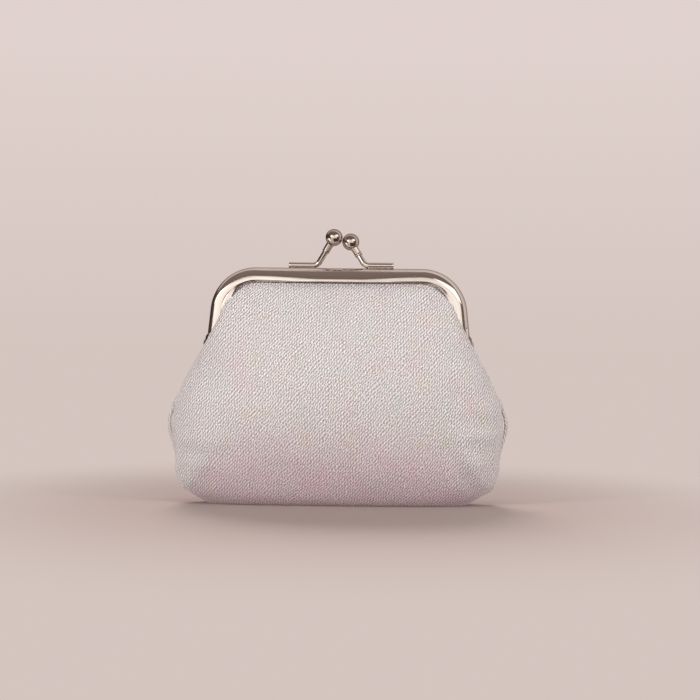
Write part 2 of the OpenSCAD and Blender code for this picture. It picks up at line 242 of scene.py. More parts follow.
def mixOf(tree, share, a, b, blend="MIX"):
    node = tree.nodes.new("ShaderNodeMix")
    node.data_type = "RGBA"
    node.blend_type = blend
    feed(tree, node.inputs[0], share)
    feed(tree, node.inputs[6], a)
    feed(tree, node.inputs[7], b)
    return node.outputs[2]


def scaledOf(tree, vector, scale):
    node = tree.nodes.new("ShaderNodeMapping")
    feed(tree, node.inputs["Vector"], vector)
    node.inputs["Scale"].default_value = scale
    return node.outputs[0]


def bumpOf(tree, height, strength, distance):
    node = tree.nodes.new("ShaderNodeBump")
    feed(tree, node.inputs["Height"], height)
    feed(tree, node.inputs["Strength"], strength)
    node.inputs["Distance"].default_value = distance
    return node.outputs[0]


# Vector maths: the first output is a vector, the second a value
def vectorOf(tree, operation, *values):
    node = tree.nodes.new("ShaderNodeVectorMath")
    node.operation = operation
    for socket, value in zip(node.inputs, values):
        feed(tree, socket, value)
    return node.outputs


def splitOf(tree, vector):
    node = tree.nodes.new("ShaderNodeSeparateXYZ")
    feed(tree, node.inputs[0], vector)
    return node.outputs


def glowOf(tree, colour):
    node = tree.nodes.new("ShaderNodeEmission")
    feed(tree, node.inputs["Color"], colour)
    return node.outputs[0]


def objectPlace(tree):
    return tree.nodes.new("ShaderNodeTexCoord").outputs["Object"]


# Gives a Principled shader its colour, roughness and normal
def coat(tree, shader, colour, rough, normal):
    for label, value in (("Base Color", colour), ("Roughness", rough), ("Normal", normal)):
        feed(tree, shader.inputs[label], value)


# Twill: three plane waves of one lattice, whose floats step 0.88 mm across and 0.98 mm up from yarn to yarn
def makeTwillGroup(weave):
    tree, given, made = newGroup(
        "twillWeave",
        [("Cloth", "Vector", None), ("Irregular", "Float", 0.3), ("Pitch", "Float", 1.0)],
        [("Height", "Float"), ("Glint", "Float"), ("Yarn", "Float")],
    )
    cloth = given.outputs["Cloth"]
    wander = noiseOf(tree, cloth, 0.22, 1.0, colour=True)
    u, v, _ = splitOf(tree, vectorOf(tree, "MULTIPLY_ADD", wander, (1.6, 1.6, 0.0), cloth)[0])
    total = 0.0
    for period, degrees, share in weave:
        turn = math.radians(degrees)
        across = mathOf(tree, "MULTIPLY", u, 2 * math.pi * math.cos(turn) / period)
        phase = mathOf(tree, "MULTIPLY_ADD", v, 2 * math.pi * math.sin(turn) / period, across)
        phase = mathOf(tree, "DIVIDE", phase, given.outputs["Pitch"])
        total = mathOf(tree, "MULTIPLY_ADD", mathOf(tree, "COSINE", phase), share, total)
    uneven = noiseOf(tree, cloth, 2.0, 3.0, 0.7)
    height = mathOf(tree, "MULTIPLY_ADD", total, 0.5, 0.5)
    uneven = mathOf(tree, "MULTIPLY", mathOf(tree, "SUBTRACT", uneven, 0.5), given.outputs["Irregular"])
    height = mathOf(tree, "ADD", height, uneven, clamp=True)
    feed(tree, made.inputs["Height"], height)
    # Glint: bright spots on the floats' tops; the cloth uses them as a painted highlight in its colour and to
    # lower its roughness
    spark = rangeOf(tree, noiseOf(tree, cloth, 1.7, 1.0), 0.44, 0.66)
    feed(tree, made.inputs["Glint"], mathOf(tree, "MULTIPLY", rangeOf(tree, height, 0.55, 0.9), spark))
    feed(tree, made.inputs["Yarn"], noiseOf(tree, scaledOf(tree, cloth, (1.0, 0.25, 1.0)), 3.0, 2.0))
    return tree


# Soft patches of colour that wander over pearly cloth: pink, green and yellow, each from its own noise
def makePearlGroup():
    tree, given, made = newGroup(
        "pearlTint",
        [("Cloth", "Vector", None), ("Color", "Color", (1, 1, 1, 1)), ("Amount", "Float", 0.3)],
        [("Color", "Color")],
    )
    colour = given.outputs["Color"]
    tints = [  # tint, then scale and shift of its noise
        ((1.0, 0.80, 0.90, 1), 0.085, 3.0),
        ((0.84, 1.0, 0.92, 1), 0.11, 17.0),
        ((1.0, 0.94, 0.78, 1), 0.13, 41.0),
    ]
    for tint, scale, shift in tints:
        place = vectorOf(tree, "ADD", given.outputs["Cloth"], (shift, shift * 0.7, 0.0))[0]
        patch = rangeOf(tree, noiseOf(tree, place, scale, 1.5), 0.52, 0.72)
        patch = mathOf(tree, "MULTIPLY", patch, given.outputs["Amount"])
        colour = mixOf(tree, patch, colour, tint, "MULTIPLY")
    feed(tree, made.inputs["Color"], colour)
    return tree


# Plating: soft smudges, fine rubbed lines and tiny pits
def makePlatingGroup():
    tree, given, made = newGroup(
        "wornPlating",
        [("Vector", "Vector", None), ("Rough", "Float", 0.12), ("Smudge", "Float", 0.12),
         ("Line", "Vector", (1, 1, 1))],
        [("Roughness", "Float"), ("Height", "Float"), ("Haze", "Float")],
    )
    place = given.outputs["Vector"]
    smudge = rangeOf(tree, noiseOf(tree, place, 130.0, 4.0, 0.6), 0.45, 0.75)
    lines = noiseOf(tree, vectorOf(tree, "MULTIPLY", place, given.outputs["Line"])[0], 900.0, 3.0, 0.7)
    pits = rangeOf(tree, noiseOf(tree, place, 2600.0, 1.0), 0.70, 0.80)
    rough = mathOf(tree, "MULTIPLY_ADD", smudge, given.outputs["Smudge"], given.outputs["Rough"])
    rough = mathOf(tree, "MULTIPLY_ADD", rangeOf(tree, lines, 0.55, 0.8), 0.10, rough)
    feed(tree, made.inputs["Roughness"], mathOf(tree, "MULTIPLY_ADD", pits, 0.12, rough))
    feed(tree, made.inputs["Height"], mathOf(tree, "SUBTRACT", mathOf(tree, "MULTIPLY", lines, 0.35), pits))
    feed(tree, made.inputs["Haze"], smudge)
    return tree


twillWeave = [  # period in millimetres, direction in degrees, share
    (0.87, -42.0, 0.46),
    (0.85, -1.0, 0.30),
    (0.61, 26.0, 0.24),
]
twillGroup = makeTwillGroup(twillWeave)
pearlGroup = makePearlGroup()
platingGroup = makePlatingGroup()


def placed(tree, group, **values):
    node = tree.nodes.new("ShaderNodeGroup")
    node.node_tree = group
    for key, value in values.items():
        feed(tree, node.inputs[key], value)
    return node


# Cloth coordinates in millimetres, from the piece's own map
def clothPlace(tree):
    return scaledOf(tree, tree.nodes.new("ShaderNodeUVMap").outputs[0], (100.0, 100.0, 1.0))


pearlCloth = {
    # painted shade: the hollows between the floats take this darker colour
    "gap": (0.335, 0.30, 0.31, 1),
    "yarn": (0.800, 0.753, 0.746, 1),
    # painted highlight: the weave's glint spots are mixed towards this near-white colour
    "glintHighlight": (1.0, 0.99, 0.98, 1),
    "dim": 0.20,  # how much darker the threads are that lie turned away
    "lowBellyShade": (0.93, 0.80, 0.855, 1),  # painted shade of the lower belly, mauve-tinted, fading in between two heights
    "lowShadeTop": 31.0, "lowShadeLow": 14.0,
    "lowShadeCorner": 26.0,  # how much higher it climbs towards the sides
    "lipShadeColour": (0.20, 0.17, 0.15, 1),  # painted shadow in the gap under the frame's lip
    "roughness": 0.52,
    "tint": 0.36,
}


def makePearlTwill():
    material, tree, shader = newMaterial("pearlTwill", Sheen_Weight=0.12, Sheen_Roughness=0.4)
    cloth = clothPlace(tree)
    twill = placed(tree, twillGroup, Cloth=cloth, Irregular=2.1)
    # painted shade: the weave's low places darken towards the gap colour
    weave = rangeOf(tree, twill.outputs["Height"], 0.24, 0.66)
    colour = mixOf(tree, weave, pearlCloth["gap"], pearlCloth["yarn"])
    thread = rangeOf(tree, noiseOf(tree, cloth, 1.5, 1.0), 0.34, 0.62)
    colour = mixOf(tree, thread, mixOf(tree, pearlCloth["dim"], colour, (0, 0, 0, 1)), colour)
    colour = placed(tree, pearlGroup, Cloth=cloth, Color=colour, Amount=pearlCloth["tint"]).outputs[0]
    # painted highlight: the glint spots lighten the cloth's colour towards near-white
    colour = mixOf(tree, mathOf(tree, "MULTIPLY", twill.outputs["Glint"], 0.8), colour, pearlCloth["glintHighlight"])
    # painted shade: the cloth darkens towards the bottom, reaching higher towards the sides
    x, _, z = splitOf(tree, objectPlace(tree))
    aside = mathOf(tree, "MAXIMUM", mathOf(tree, "SUBTRACT", mathOf(tree, "ABSOLUTE", x), 0.025), 0.0)
    height = mathOf(tree, "MULTIPLY_ADD", mathOf(tree, "MULTIPLY", aside, aside), pearlCloth["lowShadeCorner"], z)
    height = mathOf(tree, "MULTIPLY_ADD", noiseOf(tree, cloth, 0.09, 2.0), 0.008, height)
    low = rangeOf(tree, height, pearlCloth["lowShadeTop"] * mm, pearlCloth["lowShadeLow"] * mm)
    colour = mixOf(tree, low, colour, pearlCloth["lowBellyShade"], "MULTIPLY")
    lipShadeMask = tree.nodes.new("ShaderNodeAttribute")  # 1 where the cloth lies under the frame's lip, which takes the painted shadow
    lipShadeMask.attribute_name = "lipShadeMask"
    under = mathOf(tree, "POWER", lipShadeMask.outputs["Fac"], 1.5)
    colour = mixOf(tree, under, colour, pearlCloth["lipShadeColour"], "MULTIPLY")
    rough = mathOf(tree, "MULTIPLY_ADD", twill.outputs["Glint"], -0.22, pearlCloth["roughness"])
    coat(tree, shader, colour, rough, bumpOf(tree, twill.outputs["Height"], 0.5, 0.00013))
    return material


def makeLiningSatin():
    material, tree, shader = newMaterial("liningSatin", Sheen_Weight=0.1)
    cloth = clothPlace(tree)
    threads = noiseOf(tree, scaledOf(tree, cloth, (9.0, 0.7, 1.0)), 1.6, 3.0, 0.6)
    folds = noiseOf(tree, cloth, 0.12, 2.0)
    colour = mixOf(tree, rangeOf(tree, threads, 0.3, 0.7), (0.58, 0.49, 0.48, 1), (0.74, 0.66, 0.64, 1))
    colour = placed(tree, pearlGroup, Cloth=cloth, Color=colour, Amount=0.15).outputs[0]
    rough = rangeOf(tree, folds, 0.3, 0.7, 0.50, 0.62)
    coat(tree, shader, colour, rough, bumpOf(tree, threads, 0.25, 0.00005))
    return material


def makeFleece():
    material, tree, shader = newMaterial("paddingFleece", Sheen_Weight=0.3)
    cloth = clothPlace(tree)
    fluff = noiseOf(tree, cloth, 2.2, 6.0, 0.75)
    colour = mixOf(tree, fluff, (0.66, 0.64, 0.60, 1), (0.90, 0.89, 0.86, 1))
    coat(tree, shader, colour, rangeOf(tree, fluff, 0.2, 0.8, 0.85, 0.98), bumpOf(tree, fluff, 0.6, 0.0003))
    return material


def makeNickel(name, colour, rough, smudge, line, paintedRimShade):
    material, tree, shader = newMaterial(name, Metallic=1.0)
    wear = placed(tree, platingGroup, Vector=objectPlace(tree), Rough=rough, Smudge=smudge, Line=line)
    dulled = tuple(c * 0.86 for c in colour[:3]) + (1,)
    wearAndRimShade = mixOf(tree, mathOf(tree, "MULTIPLY", wear.outputs["Haze"], 0.5), colour, dulled)
    # painted reflection: towards grazing angles the colour turns dark brown, standing in for the dark
    # surroundings the rims mirror
    slant = tree.nodes.new("ShaderNodeLayerWeight")
    slant.inputs["Blend"].default_value = 0.5
    rim = rangeOf(tree, slant.outputs["Facing"], 0.3, 0.85, 0.0, paintedRimShade)
    wearAndRimShade = mixOf(tree, rim, wearAndRimShade, (0.16, 0.125, 0.105, 1))
    shader.inputs["Specular Tint"].default_value = (0.45, 0.40, 0.37, 1)  # darker towards grazing angles
    coat(tree, shader, wearAndRimShade, wear.outputs["Roughness"], bumpOf(tree, wear.outputs["Height"], 0.06, 0.00003))
    return material


def makeKraft():
    material, tree, shader = newMaterial("twistedPaper")
    cloth = clothPlace(tree)
    wave = tree.nodes.new("ShaderNodeTexWave")
    feed(tree, wave.inputs["Vector"], cloth)
    wave.bands_direction = "DIAGONAL"
    wave.inputs["Scale"].default_value = 1.1
    wave.inputs["Distortion"].default_value = 1.5
    fibre = noiseOf(tree, cloth, 6.0, 4.0, 0.7)
    mixed = mathOf(tree, "MULTIPLY_ADD", wave.outputs["Fac"], 0.6, mathOf(tree, "MULTIPLY", fibre, 0.4))
    colour = mixOf(tree, mixed, (0.28, 0.18, 0.09, 1), (0.62, 0.47, 0.30, 1))
    coat(tree, shader, colour, rangeOf(tree, fibre, 0.2, 0.8, 0.7, 0.9), bumpOf(tree, mixed, 0.6, 0.0001))
    return material


pearlTwill = makePearlTwill()
liningSatin = makeLiningSatin()
paddingFleece = makeFleece()
frameNickel = makeNickel("frameNickel", (0.84, 0.785, 0.74, 1), 0.10, 0.10, (0.06, 1.0, 1.0), 0.35)
claspNickel = makeNickel("claspNickel", (0.82, 0.76, 0.71, 1), 0.07, 0.08, (1.0, 1.0, 0.2), 0.85)
# painted shade: the balls take a darker copy of the same nickel
darkenedBallNickel = makeNickel("darkenedBallNickel", (0.66, 0.585, 0.53, 1), 0.07, 0.08, (1.0, 1.0, 1.0), 0.9)
hingeNickel = makeNickel("hingeNickel", (0.70, 0.66, 0.61, 1), 0.16, 0.14, (1.0, 1.0, 1.0), 0.5)
twistedPaper = makeKraft()
print("materials made")


# Metal frame

# Stations of the frame's line from right to left: centre across, centre up, angle of the outward normal
def frameStations(legRows, cornerRows, barRows, legEnd):
    legLen = (cornerZ - legEnd) / math.cos(splay) + cornerR * math.tan(splay)
    down = np.linspace(legLen, 0, legRows, endpoint=False)
    turn = np.linspace(splay, math.pi / 2, cornerRows)
    bar = np.linspace(cornerX, -cornerX, barRows)[1:-1]
    right = np.concatenate([
        np.stack([cornerX + down * math.sin(splay), cornerZ - down * math.cos(splay),
                  np.full(len(down), splay)], 1),
        np.stack([np.full(len(turn), cornerX), np.full(len(turn), cornerZ), turn], 1),
    ])
    left = right[::-1] * [-1, 1, -1] + [0, 0, math.pi]
    middle = np.stack([bar, np.full(len(bar), cornerZ), np.full(len(bar), math.pi / 2)], 1)
    return np.concatenate([right, middle, left])


# Places across and up that lie reach outside the stations' centres
def outFrom(stations, reach):
    turn = stations[:, 2, None]
    return stations[:, 0, None] + reach * np.cos(turn), stations[:, 1, None] + reach * np.sin(turn)


# Points of a section of (outward, depth) pairs carried along the stations; side is -1 in front and 1 behind.
# In the middle of the bar the face leans out towards its lip, and from the corners on it falls back
def carried(section, stations, side):
    n, deep = section.T
    r, low = channel["edgeRadius"], channel["faceHeight"]
    run = np.clip((-n - r) / (low - r), 0, 1)
    onFace = deep > faceY / 2
    lean = ease(27.0, 6.0, np.abs(stations[:, 0])) * (stations[:, 1] > cornerZ - 0.1)
    change = channel["barLean"] * (n / low) ** 2 + channel["faceCrown"] * run**2
    d = deep + onFace * lean[:, None] * change
    bent = np.abs(np.degrees(stations[:, 2]) - 90)
    share = np.where(stations[:, 0] < 0, *channel["legEdge"])
    narrow = 1 - ((1 - share) * ease(channel["legFrom"], channel["legFull"], bent))[:, None]
    squeezed = np.where(n > -r, n * narrow, -r * narrow + (n + r) * (low - r * narrow) / (low - r))
    n = np.where(deep > channel["narrowFrom"], squeezed, n)
    crease = np.exp(-(((run - channel["creaseAt"]) / channel["creaseWidth"]) ** 2)) * (run > 0)
    d = d - channel["legCrease"] * onFace * crease * ease(0.75, 0.40, narrow)
    x, z = outFrom(stations, cornerR + n)
    return np.stack([x, side * d, z], -1)


# Closed section of the bent sheet: inner wall, bent top, rounded edge, crowned face, rolled lip, back inside
def sheetSection():
    t, r, turn = channel["sheet"], channel["edgeRadius"], channel["topBend"]
    low, face = -channel["faceHeight"], faceY

    def side(off):
        bend = np.linspace(0, math.pi / 2, 9)
        wall = [[low + 0.1, channel["innerWall"] + off], [-1.5, channel["innerWall"] + off]]
        outward = (turn - off) * np.sin(bend) - turn
        first = np.stack([outward, channel["innerWall"] + turn - (turn - off) * np.cos(bend)], 1)
        arc = np.linspace(math.pi / 2, 0, 26)
        deep = r - channel["edgeFlat"]
        edge = np.stack([-r + (r - off) * np.sin(arc), face - deep + (deep - off) * np.cos(arc)], 1)
        run = np.linspace(0, 1, 33)[1:]
        crown = np.stack([-r + (low + r) * run, face - off - channel["faceCrown"] * run**2], 1)
        return np.concatenate([wall, first, edge, crown])

    outer, inner = side(0.0), side(t)
    roll = np.linspace(0, math.pi, 7)[1:-1]
    lipAt, lipIn = outer[-1], inner[-1]
    mid, half = (lipAt + lipIn) / 2, t / 2
    lip = np.stack([mid[0] - half * np.sin(roll), mid[1] + half * np.cos(roll)], 1)
    start = (outer[0] + inner[0]) / 2
    heel = np.stack([start[0] - half * np.sin(roll), start[1] + half * np.cos(roll)], 1)
    return np.concatenate([outer, lip, inner[::-1], heel])


# Closed tube of section rings with its two ends capped
def ringsPiece(name, rings, material, cloth=None):
    k, m = rings.shape[:2]
    faces = gridQuads(k, m, roundCols=True).tolist()
    faces += [list(range(m))[::-1], [(k - 1) * m + i for i in range(m)]]
    return newPiece(name, rings, faces, material, cloth)


lug = {
    "radius": 3.0,
    "plate": 0.6,
    "hole": 0.95,
    "rearX": 42.44,   # inner face of the rear half's lug
    "frontX": 43.16,  # inner face of the front half's lug
    "neckTop": 58.6, "neckWide": 4.35,
    "edge": 0.14,     # rounding of the stamped edge
    "swept": (3.02, 3.45),  # flat as far as the other half's lug sweeps, then it steps in under the channel
}


# Stamped lug round the hinge pin: a ring about the hole, with a tongue that steps in under the channel's end
def lugPiece(name, xIn, side, mirror):
    turns = fullTurn(96)
    across, up = np.sin(turns), np.cos(turns)  # towards the half's own side, and up
    reachSide = lug["neckWide"] / np.maximum(across, 1e-3)
    reachTop = (lug["neckTop"] - hingeZ) / np.maximum(up, 1e-3)
    grown = np.minimum(reachSide, reachTop) - lug["radius"]
    soft = ease(0.0, 0.62, across) * ease(-0.05, 0.45, up)
    rim = lug["radius"] + np.where((across > 0.0) & (up > -0.05), np.maximum(grown * soft, 0), 0)
    e, t = lug["edge"], lug["plate"]
    # round the section: share from hole to rim, or 2 for the rim itself, and place through the plate
    rows = [
        (0.0, 0.0), (0.3, 0.0), (0.7, 0.0), (1.0, 0.0), (2.0, 0.3), (2.0, 0.7),
        (1.0, 1.0), (0.7, 1.0), (0.3, 1.0), (0.0, 1.0),
    ]
    rings = []
    for share, through in rows:
        r = rim if share == 2.0 else lug["hole"] + (rim - e - lug["hole"]) * share
        y, z = side * r * across, hingeZ + r * up
        under = legX(cornerR, z) - channel["sheet"] - t - 0.03
        own = 1 - ease(*lug["swept"], r)
        rings.append(np.stack([under + (xIn - under) * own + t * through, y, z], 1))
    points = np.stack(rings)
    if mirror:
        points = points * [-1, 1, 1]
    quads = gridQuads(len(rows), len(turns), roundRows=True, roundCols=True)
    return newPiece(name, points, quads, frameNickel)


def makeFrameHalf(half, side):
    stations = frameStations(channel["legRows"], channel["cornerRows"], channel["barRows"], channel["legEnd"])
    shell = ringsPiece(half + "Frame", carried(sheetSection(), stations, side), frameNickel)
    xIn = lug["frontX"] if side < 0 else lug["rearX"]
    lugs = [lugPiece(half + "FrameLug", xIn, side, mirror) for mirror in (False, True)]
    shell = joined([shell] + lugs)
    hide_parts(half + "_frame")
    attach(shell, half + "_clasp")


halves = {"front": -1, "rear": 1}  # which side of the closing plane each half stands on
for half, side in halves.items():
    makeFrameHalf(half, side)
print("frame halves made")

# Hinge pins

rivet = {
    "headX": 43.82, "headRadius": 1.8, "headHigh": 0.7,
    "tailX": 42.02, "tailRadius": 1.5, "tailHigh": 0.45,
    "shank": 0.9,
    "washerX": 42.08, "washerRadius": 1.9, "washerHole": 0.95, "washerHigh": 0.3,
}
nearAxis = 0.02  # how close to their axis turned profiles come


# Turned piece: a closed profile of (along the pin, radius) pairs spun about the hinge axis
def turnedPiece(name, profile, mirror, material, steps=64):
    p = np.asarray(profile, float)
    turns = fullTurn(steps)
    x = np.broadcast_to(p[:, 0, None], (len(p), steps))
    points = np.stack([x, p[:, 1, None] * np.cos(turns), hingeZ + p[:, 1, None] * np.sin(turns)], -1)
    if mirror:
        points = points * [-1, 1, 1]
    return newPiece(name, points, gridQuads(len(p), steps, roundRows=True, roundCols=True), material)


# Points of a rounded head, from its rim to near its pole
def domed(x, high, radius, steps, power):
    arc = np.linspace(0, math.pi / 2, steps)[1:-1]
    return [(x + high * math.sin(a), radius * math.cos(a) ** power) for a in arc]


def makeHingePin(label, mirror):
    headX, headR, headHigh = rivet["headX"], rivet["headRadius"], rivet["headHigh"]
    tailX, tailR, tailHigh = rivet["tailX"], rivet["tailRadius"], rivet["tailHigh"]
    profile = (
        [(tailX - tailHigh, nearAxis)] + domed(tailX, -tailHigh, tailR, 8, 0.7)[::-1]
        + [(tailX - 0.06, tailR), (tailX, tailR - 0.05), (tailX, rivet["shank"]), (headX, rivet["shank"])]
        + [(headX, headR - 0.06), (headX + 0.08, headR)]
        + domed(headX, headHigh, headR, 12, 0.8) + [(headX + headHigh, nearAxis)]
    )
    pin = turnedPiece(label + "HingeRivet", profile, mirror, hingeNickel)
    x, r, h, t = rivet["washerX"], rivet["washerRadius"], rivet["washerHole"], rivet["washerHigh"]
    soft = 0.06
    ring = [(x, h + soft), (x + soft, h), (x + t - soft, h), (x + t, h + soft), (x + t, r - soft),
            (x + t - soft, r), (x + soft, r), (x, r - soft)]
    washer = turnedPiece(label + "HingeWasher", ring, mirror, hingeNickel)
    for piece, node in ((pin, label + "_hinge_rivet"), (washer, label + "_hinge_washer")):
        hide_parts(node)
        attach(piece, "pouch")


makeHingePin("left", True)
makeHingePin("right", False)
print("hinge pins made")

# Clasp

clasp = {
    "rod": 1.9, "bend": 2.5, "rise": 60.0, "foot": 8.0, "footY": 1.3, "braze": 0.02,
    "ball": 5.6, "cross": 1.0, "collar": 2.4, "collarLong": 2.8, "sink": 1.2,
}
clasps = {  # ball centre across, height above the frame, half, which way the arm runs
    "rear": {"ballX": -1.85, "high": 10.1, "side": 1, "turn": 1},
    "front": {"ballX": -3.65, "high": 8.8, "side": -1, "turn": -1},
}


# Arm's line in its own plane: foot, bend, straight; gives places and slopes
def armLine(high, short):
    rise = math.radians(clasp["rise"])
    reach = math.hypot(high - clasp["rod"] / 2 - clasp["braze"], clasp["footY"] + clasp["cross"])
    straight = (reach - clasp["bend"] * (1 - math.cos(rise))) / math.sin(rise)
    foot = np.linspace(-clasp["foot"], 0, 9)[:-1]
    turn = np.linspace(0, rise, 17)
    run = np.linspace(0, straight - short, 9)[1:]
    bx, bz = clasp["bend"] * math.sin(rise), clasp["bend"] * (1 - math.cos(rise))
    line = np.concatenate([
        np.stack([foot, np.zeros(8), np.zeros(8)], 1),
        np.stack([clasp["bend"] * np.sin(turn), clasp["bend"] * (1 - np.cos(turn)), turn], 1),
        np.stack([bx + run * math.cos(rise), bz + run * math.sin(rise), np.full(8, rise)], 1),
    ])
    return line, bx + straight * math.cos(rise), bz + straight * math.sin(rise)


# Puts points of the arm's plane (along, aside, up) into the purse: leaned over the closing plane, then turned
def armPlaced(points, spec):
    lean = math.atan2(clasp["footY"] + clasp["cross"], spec["high"] - clasp["rod"] / 2 - clasp["braze"])
    _, runX, _ = armLine(spec["high"], 0)
    x, y, z = points[..., 0], points[..., 1], points[..., 2]
    y, z = y * math.cos(lean) - z * math.sin(lean), y * math.sin(lean) + z * math.cos(lean)
    x = x + spec["ballX"] - runX
    y = y + clasp["footY"]
    z = z + topZ + clasp["rod"] / 2 + clasp["braze"]
    return np.stack([x * spec["turn"], y * spec["turn"], z], -1)


def makeClaspArm(half, spec):
    line = armLine(spec["high"], clasp["sink"])[0]
    r = clasp["rod"] / 2
    turns = fullTurn(32)
    # share of the radius and step along of the first rings: a square-cut end with a small broken edge
    cut = [(0.05, 0.0), (0.86, 0.0), (0.96, 0.04), (1.0, 0.12)]
    rings = []
    for i, (x, z, slope) in enumerate(line):
        for scale, shift in cut if i == 0 else [(1.0, 0.0)]:
            rings.append(np.stack([
                x + shift - r * scale * np.cos(turns) * math.sin(slope),
                -r * scale * np.sin(turns),
                z + r * scale * np.cos(turns) * math.cos(slope),
            ], 1))
    arm = ringsPiece(half + "ClaspArm", armPlaced(np.stack(rings), spec), claspNickel)
    # brazed seam under the foot: a low fillet whose skirt spreads over the frame
    rows, cols = 40, 13
    along = np.linspace(0.3 - clasp["foot"], 0.9, rows)
    bulge = np.sqrt(np.clip(1 - np.abs(np.linspace(-1, 1, rows)) ** 6, 0, 1))
    section = np.linspace(0, math.pi, cols)
    wave = 0.08 * np.sin(along * 2.1) + 0.05 * np.sin(along * 5.3 + 1.0)
    x = np.broadcast_to(along[:, None], (rows, cols))
    y = ((0.78 + wave) * bulge)[:, None] * np.cos(section) * (1 + 0.25 * np.cos(section) ** 2)
    z = topZ - 0.03 + 0.42 * bulge[:, None] * np.sin(section) ** 1.5
    _, runX, _ = armLine(spec["high"], 0)
    seam = np.stack([(x + spec["ballX"] - runX) * spec["turn"], (y + clasp["footY"]) * spec["turn"], z], -1)
    fillet = ringsPiece(half + "Braze", seam, claspNickel)
    arm = joined([arm, fillet])
    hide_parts(half + "_clasp_arm")
    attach(arm, half + "_clasp")


def makeClaspBall(half, spec):
    _, along, up = armLine(spec["high"], 0)
    rise = math.radians(clasp["rise"])
    ballR, c, bore = clasp["ball"] / 2, clasp["collar"] / 2, clasp["rod"] / 2 + 0.02
    meet = math.asin(c / ballR) + 0.10
    neck, end = ballR * math.cos(meet), ballR + clasp["collarLong"]
    arc = np.linspace(math.pi - 0.01, meet, 40)[1:]  # from the ball's far pole to its neck
    # places down the rod and radii
    p = [(-ballR, nearAxis)] + [(ballR * math.cos(a), ballR * math.sin(a)) for a in arc]
    p = np.array(p + [
        (neck + 0.18, c + 0.10), (neck + 0.36, c), (end - 0.9, c), (end - 0.8, c - 0.07), (end - 0.68, c),
        (end - 0.10, c), (end, c - 0.08), (end, bore), (end - 0.4, bore), (end - 0.4, nearAxis),
    ])
    turns = fullTurn(64)
    down, radius = p[:, 0, None], p[:, 1, None]
    aside = radius * np.cos(turns)
    over = radius * np.sin(turns)
    x = along - down * math.cos(rise) - aside * math.sin(rise)
    z = up - down * math.sin(rise) + aside * math.cos(rise)
    points = armPlaced(np.stack([x, over, z], -1), spec)
    ball = ringsPiece(half + "ClaspBall", points, darkenedBallNickel)
    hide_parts(half + "_clasp_ball")
    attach(ball, half + "_clasp")


for half, spec in clasps.items():
    makeClaspArm(half, spec)
    makeClaspBall(half, spec)
print("clasp made")

# Paper cord in the channel

paperCord = {"thick": 1.4, "depth": 1.4, "inFromEdge": 2.25, "twist": 3.2, "strands": 3}


# Twisted paper: a round section whose radius dips between strands that wind along the channel
def makePaperCord(half, side):
    stations = frameStations(60, 130, 330, channel["legEnd"] + 0.4)
    centre = cornerR - paperCord["inFromEdge"]
    pathX, pathZ = outFrom(stations, centre)
    run = np.concatenate([[0], np.cumsum(np.hypot(np.diff(pathX[:, 0]), np.diff(pathZ[:, 0])))])[:, None]
    turns = fullTurn(18)
    winding = turns - 2 * math.pi * run / paperCord["twist"] / paperCord["strands"]
    r = paperCord["thick"] / 2 * (0.90 + 0.10 * np.abs(np.cos(winding * paperCord["strands"] / 2)))
    x, z = outFrom(stations, centre + r * np.cos(turns))
    points = np.stack([x, side * (paperCord["depth"] + r * np.sin(turns)), z], -1)
    cloth = np.stack([np.broadcast_to(run, r.shape), np.broadcast_to(turns * 0.7, r.shape)], -1) / 100
    cord = ringsPiece(half + "PaperCord", points, twistedPaper, cloth)
    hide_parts(half + "_paper_cord")
    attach(cord, half + "_clasp")


for half, side in halves.items():
    makePaperCord(half, side)
print("paper cords made")

# Bag

bag = {
    "outline": [  # height and half width of the front panel's outline, from the frame's lip to the floor
        (76.0, 33.0), (67.0, 36.7), (60.5, 39.6), (53.6, 43.2), (44.0, 48.8), (34.3, 53.0), (25.5, 54.5),
        (16.5, 53.4), (9.5, 52.9), (7.6, 52.2), (5.2, 50.3), (3.3, 48.2), (1.6, 45.3), (0.0, 41.5),
    ],
    "depth": 18.0,        # half of the bag's greatest depth
    "deepAt": 28.0,
    "baseDepth": 9.5,
    "lipSwell": 0.75,     # below 1 the panel swells faster below the lip
    "rearBulge": 1.9,     # how much wider the rear panel is at its widest
    "rearKnob": 1.5,      # how far its lower corners stand out
    "hemDepth": 3.4,      # where the outer cloth lies in the channel
    "liningCut": (0.124, 0.099),  # metres: width and height of the lining's cut
    "liningArea": 0.0086,  # square metres, when it lies flat
    "sideSquare": 2.5,
    "frontSquare": 2.25,
    "puffAt": 67.0,       # below this height the padded cloth swells over the frame's legs
    "wallRows": 84,
    "baseRows": 9,
    "frontCols": 92,
}
lipE = cornerR - channel["faceHeight"] - 0.22
hemE = cornerR - 2.4
lipTop = cornerZ + lipE


# Depth of a panel at heights z: a quarter wave from the lip to the deepest level, a rounded foot below it
def bagDepth(z, lipDepth):
    up = np.clip((lipTop - 0.6 - z) / (lipTop - 0.6 - bag["deepAt"]), 0, 1)
    upper = lipDepth + (bag["depth"] - lipDepth) * np.sin(math.pi / 2 * up ** bag["lipSwell"])
    foot = np.clip(1 - np.clip(1 - z / bag["deepAt"], 0, 1) ** 2.2, 0, 1) ** 0.62
    lower = bag["baseDepth"] + (bag["depth"] - bag["baseDepth"]) * foot
    return np.where(z >= bag["deepAt"], upper, lower)


# Half width of a panel's outline at heights z; the rear one bulges past the front one
def bagHalf(z, rear):
    half = curveThrough(bag["outline"], z)
    if rear:
        half = half + bag["rearBulge"] * np.exp(-(((z - 26.5) / 9.0) ** 2))
        half = half + bag["rearKnob"] * np.exp(-(((z - 4.6) / 2.4) ** 2))
    return half


